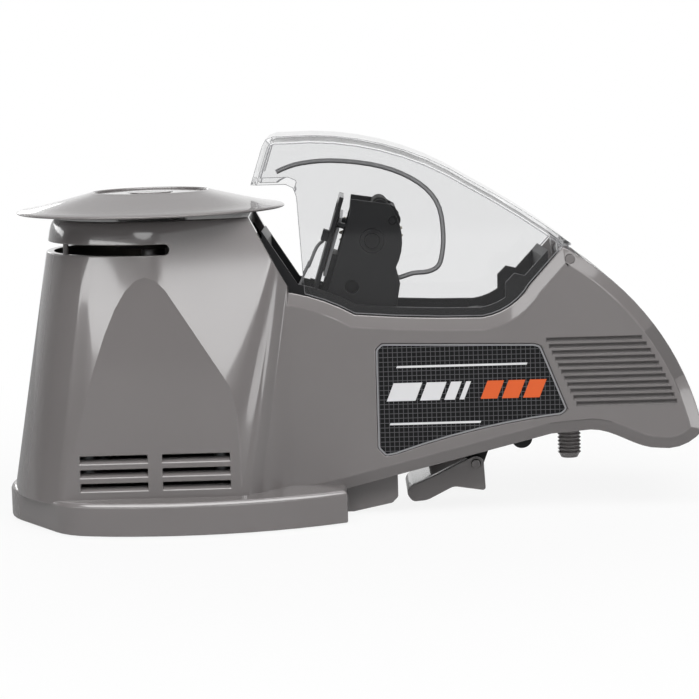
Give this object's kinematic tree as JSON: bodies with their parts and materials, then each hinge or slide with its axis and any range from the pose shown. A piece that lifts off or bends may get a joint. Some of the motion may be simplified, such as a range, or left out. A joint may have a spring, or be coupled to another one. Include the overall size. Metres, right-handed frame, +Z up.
{
  "type": "electric tape dispenser",
  "caption": "Table-top electric tape dispenser: a motor feeds and cuts the tape under a clear hood, and a swinging wire lays each strip on a turning disc.",
  "frame": {"origin": "middle of the bounding box at the level of the rubber feet", "axes": "+Z up, +X from the turntable towards the nose, Y across"},
  "size_m": [0.233, 0.1, 0.1267],
  "materials": {
    "grey_plastic": "satin gloss, moulded",
    "black_plastic": "fine texture, moulded",
    "clear_plastic": "clear, polished",
    "steel": "ground",
    "zinc": "zinc plated",
    "rubber": "matt",
    "brass": "turned",
    "acetal": "moulded, natural",
    "label": "printed film",
    "board": "solder mask",
    "lens": "dark red, polished",
    "coil": "varnished winding in a plated frame"
  },
  "bodies": {
    "housing": {"main_housing": "grey_plastic", "base_tray": "grey_plastic", "base_feet": "rubber", "base_screws": "steel", "base_weight": "steel", "labels": "label", "bearings": "steel", "motor_mount": "zinc", "mount_posts": "steel", "turntable_motor": "zinc", "main_board": "board", "switch_frame": "black_plastic", "power_inlet": "black_plastic", "panel_plate": "black_plastic", "display_window": "lens", "panel_board": "board", "inner_tray": "black_plastic", "reel_axle": "steel", "feed_cheek_near": "black_plastic", "feed_cheek_far": "black_plastic", "feed_bushes": "brass", "feed_motor": "zinc", "pinch_pins": "steel", "front_plate": "black_plastic", "fixed_blade": "steel", "cutter_solenoid": "coil", "tape_sensor": "black_plastic", "sensor_lead": "black_plastic", "presser_motor": "zinc", "cheek_screws": "steel", "hood_pin": "steel", "nose_floor": "black_plastic", "lever_pin": "steel"},
    "turntable": {"turntable_disc": "grey_plastic", "centre_cap": "grey_plastic", "cap_screw": "grey_plastic", "spindle": "steel", "spindle_gear": "acetal"},
    "drive_pinion": {"drive_pinion": "brass"},
    "feed_roller": {"feed_shaft": "steel", "feed_roller": "rubber", "feed_gear": "acetal"},
    "feed_pinion": {"feed_pinion": "brass"},
    "pinch_arm": {"pinch_arm": "black_plastic"},
    "pinch_roller": {"pinch_roller": "rubber"},
    "cutter": {"moving_blade": "steel", "blade_carriage": "steel"},
    "presser": {"presser_wire": "steel", "presser_hub": "black_plastic"},
    "reel": {"tape_reel": "acetal"},
    "hood": {"hood": "clear_plastic"},
    "button_feed": {"button_feed": "grey_plastic"},
    "button_cut": {"button_cut": "grey_plastic"},
    "button_less": {"button_less": "grey_plastic"},
    "button_more": {"button_more": "grey_plastic"},
    "rocker": {"power_rocker": "black_plastic"},
    "lever": {"release_lever": "grey_plastic"},
    "leg": {"adjusting_leg": "grey_plastic"}
  },
  "joints": [
    {"name": "turntable_spin", "type": "hinge", "parent": "housing", "child": "turntable", "pos_m": [-0.0655, 0, 0.102], "axis": [0, 0, 1], "continuous": true},
    {"name": "drive_pinion_spin", "type": "hinge", "parent": "housing", "child": "drive_pinion", "pos_m": [-0.0895, 0, 0.07], "axis": [0, 0, 1], "continuous": true},
    {"name": "feed_spin", "type": "hinge", "parent": "housing", "child": "feed_roller", "pos_m": [0.0085, 0, 0.091], "axis": [0, 1, 0], "continuous": true},
    {"name": "feed_pinion_spin", "type": "hinge", "parent": "housing", "child": "feed_pinion", "pos_m": [0.0014, 0, 0.07577], "axis": [0, 1, 0], "continuous": true},
    {"name": "pinch_lift", "type": "hinge", "parent": "housing", "child": "pinch_arm", "pos_m": [0.0155, 0, 0.0975], "axis": [0, 1, 0], "range_deg": [0, 20], "stiffness_Nm_per_rad": 0.05, "springref_deg": -11.46},
    {"name": "pinch_spin", "type": "hinge", "parent": "pinch_arm", "child": "pinch_roller", "pos_m": [0.01131, 0, 0.10225], "axis": [0, 1, 0], "continuous": true},
    {"name": "cutter_stroke", "type": "slide", "parent": "housing", "child": "cutter", "axis": [0.2974, 0, 0.9548], "range_m": [0, 0.005], "stiffness_N_per_m": 200, "springref_m": -0.002},
    {"name": "presser_swing", "type": "hinge", "parent": "housing", "child": "presser", "pos_m": [0.013, 0, 0.078], "axis": [0, 1, 0], "range_deg": [-11, 0], "stiffness_Nm_per_rad": 0.02, "springref_deg": 5.73},
    {"name": "reel_spin", "type": "hinge", "parent": "housing", "child": "reel", "pos_m": [0.044, 0, 0.053], "axis": [0, 1, 0], "continuous": true},
    {"name": "hood_open", "type": "hinge", "parent": "housing", "child": "hood", "pos_m": [0.073, 0, 0.084], "axis": [0, 1, 0], "range_deg": [0, 70]},
    {"name": "button_feed_press", "type": "slide", "parent": "housing", "child": "button_feed", "axis": [-0.8746, 0, -0.4848], "range_m": [0, 0.0012], "stiffness_N_per_m": 400, "springref_m": -0.0005},
    {"name": "button_cut_press", "type": "slide", "parent": "housing", "child": "button_cut", "axis": [-0.8746, 0, -0.4848], "range_m": [0, 0.0012], "stiffness_N_per_m": 400, "springref_m": -0.0005},
    {"name": "button_less_press", "type": "slide", "parent": "housing", "child": "button_less", "axis": [-0.9239, 0, -0.3827], "range_m": [0, 0.0012], "stiffness_N_per_m": 400, "springref_m": -0.0005},
    {"name": "button_more_press", "type": "slide", "parent": "housing", "child": "button_more", "axis": [-0.9239, 0, -0.3827], "range_m": [0, 0.0012], "stiffness_N_per_m": 400, "springref_m": -0.0005},
    {"name": "rocker_flip", "type": "hinge", "parent": "housing", "child": "rocker", "pos_m": [-0.0795, 0.03691, 0.02289], "axis": [1, 0, 0], "range_deg": [-16, 0]},
    {"name": "lever_swing", "type": "hinge", "parent": "housing", "child": "lever", "pos_m": [0.0415, 0, 0.01462], "axis": [0, 1, 0], "range_deg": [0, 15]},
    {"name": "leg_screw", "type": "slide", "parent": "housing", "child": "leg", "axis": [0, 0, -1], "range_m": [0, 0.008]}
  ],
  "couplings": [
    {"joint": "drive_pinion_spin", "follows": "turntable_spin", "ratio": -2.75},
    {"joint": "feed_pinion_spin", "follows": "feed_spin", "ratio": -1.625},
    {"joint": "pinch_spin", "follows": "feed_spin", "ratio": -3.0357}
  ]
}
